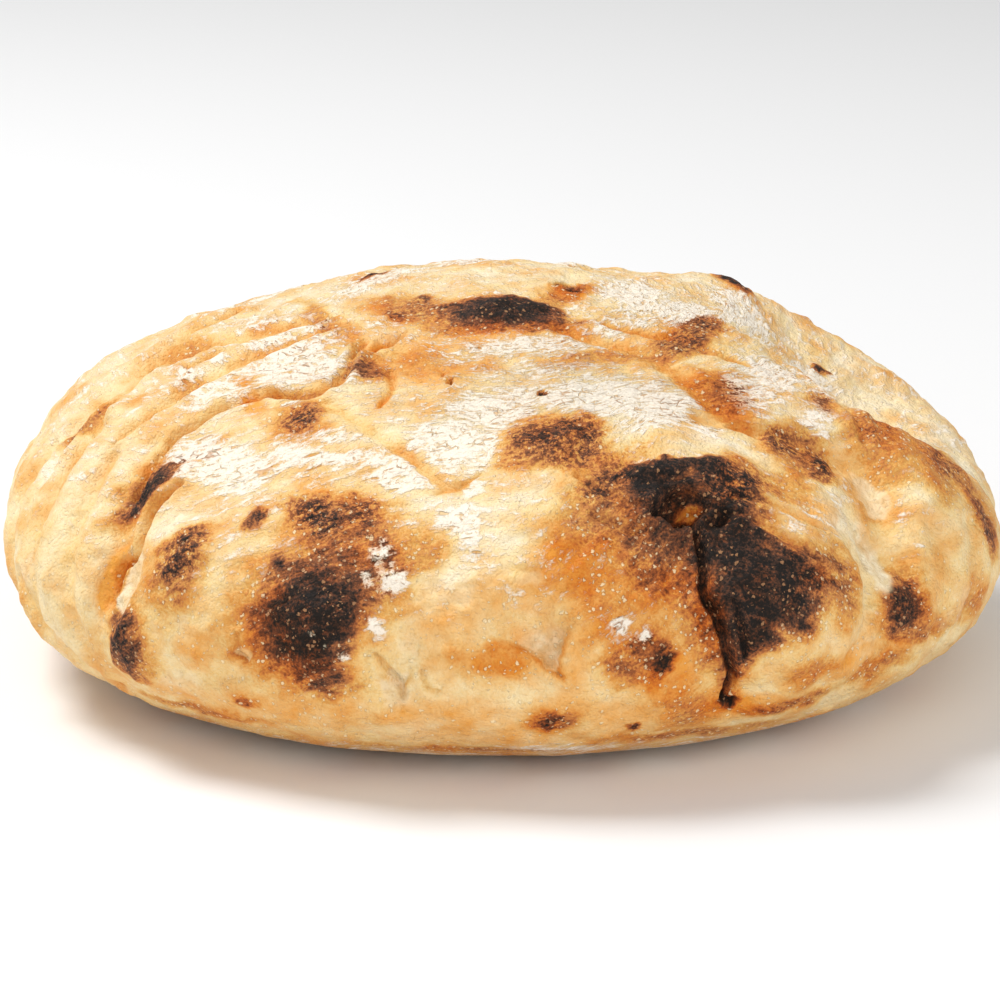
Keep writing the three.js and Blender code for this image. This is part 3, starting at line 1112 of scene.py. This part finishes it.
class CrustNodes(NodeSet):
    """The crust's nodes: what is baked into the mesh, and the noises laid over it."""

    def __init__(self, material):
        super().__init__(material)
        self.place = self.nodes.new("ShaderNodeTexCoord").outputs["Object"]
        self.grain = self.read("grain", "Vector")
        self.bake = self.read("bake")
        self.flour = self.read("flour")
        self.crackle = self.read("crackle")
        self.blotch = self.noise(self.place, BLOTCH_GRAIN, 3.0, 0.55)
        self.mottle = self.noise(self.place, MOTTLE_GRAIN, 2.0, 0.6)
        self.sand = self.noise(self.place, SAND_GRAIN, 1.0, 0.6)
        self.streak = self.noise(self.grain, STREAK_GRAIN, 3.0, 0.62)

    def add(self, noise, share, onto):
        """A share of a noise's swing about its middle, added on."""
        return self.sum("MULTIPLY_ADD", self.sum("SUBTRACT", noise, 0.5), share, onto)

    def splits(self):
        """Splits in the floury skin: dashes along the stretch, and a net of hair cracks where
        the flour lies thick."""
        fibres = self.add_node("VectorMath", {0: self.grain, 1: (0.5, 0.5, 1.0)},
                               operation="MULTIPLY").outputs[0]
        dash = self.climb(self.noise(fibres, DASH_GRAIN, 1.0, 0.5), 0.6, 0.7)
        dash = self.times(dash, self.climb(self.mottle, 0.42, 0.56))
        net = self.cells(self.bent(self.place, 1.2, 1.2), NET_GRAIN, "DISTANCE_TO_EDGE")
        hair = self.climb(net.outputs["Distance"], 0.07, 0.015)
        hair = self.times(hair, self.climb(self.flour, 0.72, 1.0))
        hair = self.times(hair, self.climb(self.mottle, 0.44, 0.66, 0.0, 0.75))
        split = self.sum("MAXIMUM", self.times(dash, 0.8), hair)
        return self.times(split, self.climb(self.flour, 0.46, 0.72))

    def streaks(self):
        """Streaks about zero, strong in flour and on toasted skin and weaker on char."""
        floury = self.climb(self.flour, 0.36, 0.66)
        toasted = self.climb(self.bake, 0.4, 0.56)
        toasted = self.times(toasted, self.climb(self.bake, 0.9, 0.6, 0.4, 1.0))
        strength = self.sum("ADD", self.sum("MAXIMUM", floury, toasted), 0.25)
        return self.times(self.sum("SUBTRACT", self.streak, 0.5), strength)

    def fine_bake(self, streaky, split):
        """How long each point baked, with its fine grain: char and toast are grainy, the
        floury skin is streaked, and the paler crust is calm."""
        strength = self.climb(self.bake, 0.28, 0.62, 0.35, 1.0)
        spread = self.times(self.sum("SUBTRACT", self.mottle, 0.5), 0.5)
        spread = self.add(self.sand, 0.5, spread)
        spread = self.sum("MULTIPLY_ADD", streaky, 0.6, spread)
        fine = self.sum("MULTIPLY_ADD", spread, strength, self.bake)
        fine = self.sum("MULTIPLY_ADD", split, 0.14, fine)
        network = self.noise(self.place, SOOT_GRAIN, 2.0, 0.75)
        network = self.sum("MULTIPLY_ADD", self.crackle, 0.16, network)
        soot = self.times(self.climb(network, 0.5, 0.7), self.crackle)
        return self.sum("MULTIPLY_ADD", soot, 0.34, fine)

    def skin_colour(self, fine):
        """The baked skin, with pale crumb in its tears and amber patches."""
        crumb = self.mix(self.climb(self.mottle, 0.35, 0.65), CRUMB_COLOUR, CRUMB_SHADE)
        pale = self.sum("MULTIPLY_ADD", self.blotch, 0.8, self.read("pale"))
        colour = self.mix(self.climb(pale, 0.7, 1.15), self.ramp(fine, BAKE_COLOURS), crumb)
        swing = self.sum("SUBTRACT", self.blotch, 0.5)
        amber = self.read("amber")
        amber = self.sum("MULTIPLY_ADD", swing, 2.0, amber, clamp=True)
        return self.mix(amber, colour, AMBER_COLOUR, "MULTIPLY")

    def powder(self, fine, split):
        """How thick the flour lies. It doesn't stick to char."""
        cover = self.add(self.streak, 1.5, self.flour)
        cover = self.add(self.mottle, 0.7, cover)
        cover = self.add(self.sand, 0.6, cover)
        cover = self.sum("ADD", cover, self.climb(fine, 0.5, 0.8, 0.0, -0.7))
        powder = self.climb(cover, 0.34, 0.86)
        return self.sum("SUBTRACT", powder, self.times(split, 0.75), clamp=True)

    def with_specks(self, colour, speck, fine):
        """The colour with grains of semolina on it, browner on char."""
        grains = self.mix(self.climb(fine, 0.55, 0.8), SPECK_COLOUR, SPECK_TOASTED)
        show = self.climb(fine, 0.55, 0.85, 0.75, 0.5)
        return self.mix(self.times(speck, show), colour, grains)

    def relief(self, streaky, split, powder, speck):
        """The fine relief, as a bent normal."""
        height = self.times(self.sand, SAND_RELIEF)
        for source, rise in ((self.mottle, MOTTLE_RELIEF), (streaky, STREAK_RELIEF),
                             (split, SPLIT_RELIEF), (powder, POWDER_RELIEF),
                             (speck, SPECK_RELIEF)):
            height = self.sum("MULTIPLY_ADD", source, rise, height)
        inputs = {"Height": height, "Distance": MM, "Strength": 1.0}
        return self.add_node("Bump", inputs).outputs["Normal"]


CRUST_SHINE = 0.25


def crust_material():
    """Baked crust: its colour by how long it baked, with flour, specks and fine cracks."""
    material = bpy.data.materials.new("crust")
    material.use_nodes = True
    nodes = CrustNodes(material)
    split = nodes.splits()
    streaky = nodes.streaks()
    fine = nodes.fine_bake(streaky, split)
    powder = nodes.powder(fine, split)
    speck = nodes.specks(nodes.place, SPECK_GRAIN, nodes.read("grit"))
    # Thin flour looks cream, and thick flour white.
    dust = nodes.mix(powder, DUST_COLOUR, FLOUR_COLOUR)
    colour = nodes.mix(nodes.times(powder, 0.95), nodes.skin_colour(fine), dust)
    rough = nodes.sum("MAXIMUM", nodes.climb(fine, 0.2, 0.8, 0.55, 0.8),
                      nodes.times(powder, 0.95))
    shader = nodes.nodes["Principled BSDF"]
    nodes.feed(shader.inputs["Base Color"], nodes.with_specks(colour, speck, fine))
    nodes.feed(shader.inputs["Roughness"], rough)
    nodes.feed(shader.inputs["Normal"], nodes.relief(streaky, split, powder, speck))
    shader.inputs["Specular IOR Level"].default_value = CRUST_SHINE
    return material


# Char is held short of black, so that its grain shows.
BLACKEST = 0.91
MOST_GRIT = 0.75


def build_roll():
    """The roll's skin, in place of the plain CAD solid."""
    tree = cad_surface()
    mesh = smooth_skin(tree)
    mesh.name = "bread_roll_crust"
    crust = baked_crust(tree, mesh)
    raised = raised_points(crust)
    mesh.vertices.foreach_set("co", (raised * MM).astype(np.float32).ravel())
    mesh.update()
    mesh.polygons.foreach_set("use_smooth", np.ones(len(mesh.polygons), dtype=bool))
    keep(mesh, "bake", np.clip(crust.bake, 0, BLACKEST))
    keep(mesh, "flour", crust.flour)
    keep(mesh, "pale", crust.pale)
    keep(mesh, "amber", crust.amber)
    keep(mesh, "crackle", np.clip(crust.crackle, 0, 1))
    keep(mesh, "grit", np.clip(crust.grit, 0, MOST_GRIT))
    keep(mesh, "grain", crust.grain * MM, "FLOAT_VECTOR", "vector")
    lay_out_bake_map(mesh, raised)
    mesh.materials.append(crust_material())
    roll = add_object("bread_roll_crust", mesh)
    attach(roll, "root")
    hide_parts("bread_roll")


# ---- the studio ----

CAMERA_LIFT = 17.0
CAMERA_DISTANCE = 0.6
CAMERA_AIM = (0.0, 0.0, 0.022)
CAMERA_LENS = 152.7
CAMERA_SENSOR = 36.0

# The soft lights: their place and size in metres, and their watts.
LIGHTS = {
    "key": ((-0.42, 0.12, 0.76), 0.36, 5.9),
    "front fill": ((-0.1, -0.95, 0.5), 0.7, 3.1),
    "right fill": ((0.8, -0.45, 0.4), 0.5, 2.6),
}
LIGHT_AIM = (0.0, 0.0, 0.03)
FLOOR_REACH = 4.0
FLOOR_COLOUR = (0.9, 0.9, 0.9, 1.0)
SKY_COLOUR = (1.0, 1.0, 1.0, 1.0)
SKY_STRENGTH = 0.36


def aim(thing, target):
    """Turns a camera or a light to face a point."""
    away = Vector(target) - thing.location
    thing.rotation_euler = away.to_track_quat("-Z", "Y").to_euler()


def add_camera():
    """The camera, looking down on the front."""
    camera = add_object("camera", bpy.data.cameras.new("camera"))
    camera.data.lens = CAMERA_LENS
    camera.data.sensor_width = CAMERA_SENSOR
    lift = math.radians(CAMERA_LIFT)
    camera.location = Vector(CAMERA_AIM) + CAMERA_DISTANCE * Vector(
        (0.0, -math.cos(lift), math.sin(lift)))
    aim(camera, CAMERA_AIM)
    bpy.context.scene.camera = camera


def add_light(name, place, size, watts):
    """A square soft white light that faces the roll."""
    light = add_object(name, bpy.data.lights.new(name, "AREA"))
    light.data.size = size
    light.data.energy = watts
    light.location = place
    aim(light, LIGHT_AIM)


def add_floor():
    """A plain pale floor."""
    mesh = bpy.data.meshes.new("floor")
    signs = ((-1, -1), (1, -1), (1, 1), (-1, 1))
    corners = [(x * FLOOR_REACH, y * FLOOR_REACH, 0) for x, y in signs]
    mesh.from_pydata(corners, [], [(0, 1, 2, 3)])
    material = bpy.data.materials.new("floor")
    material.use_nodes = True
    shader = material.node_tree.nodes["Principled BSDF"]
    shader.inputs["Base Color"].default_value = FLOOR_COLOUR
    shader.inputs["Roughness"].default_value = 0.9
    shader.inputs["Specular IOR Level"].default_value = 0.1
    mesh.materials.append(material)
    floor = add_object("floor", mesh)


def add_sky():
    """Even white light from all round."""
    world = bpy.data.worlds.new("studio")
    world.use_nodes = True
    background = world.node_tree.nodes["Background"]
    background.inputs["Color"].default_value = SKY_COLOUR
    background.inputs["Strength"].default_value = SKY_STRENGTH
    bpy.context.scene.world = world


def add_studio():
    """Camera, soft lights and floor."""
    add_camera()
    for name, (place, size, watts) in LIGHTS.items():
        add_light(name, place, size, watts)
    add_floor()
    add_sky()
    bpy.context.scene.view_settings.view_transform = "Standard"


add_studio()
build_roll()
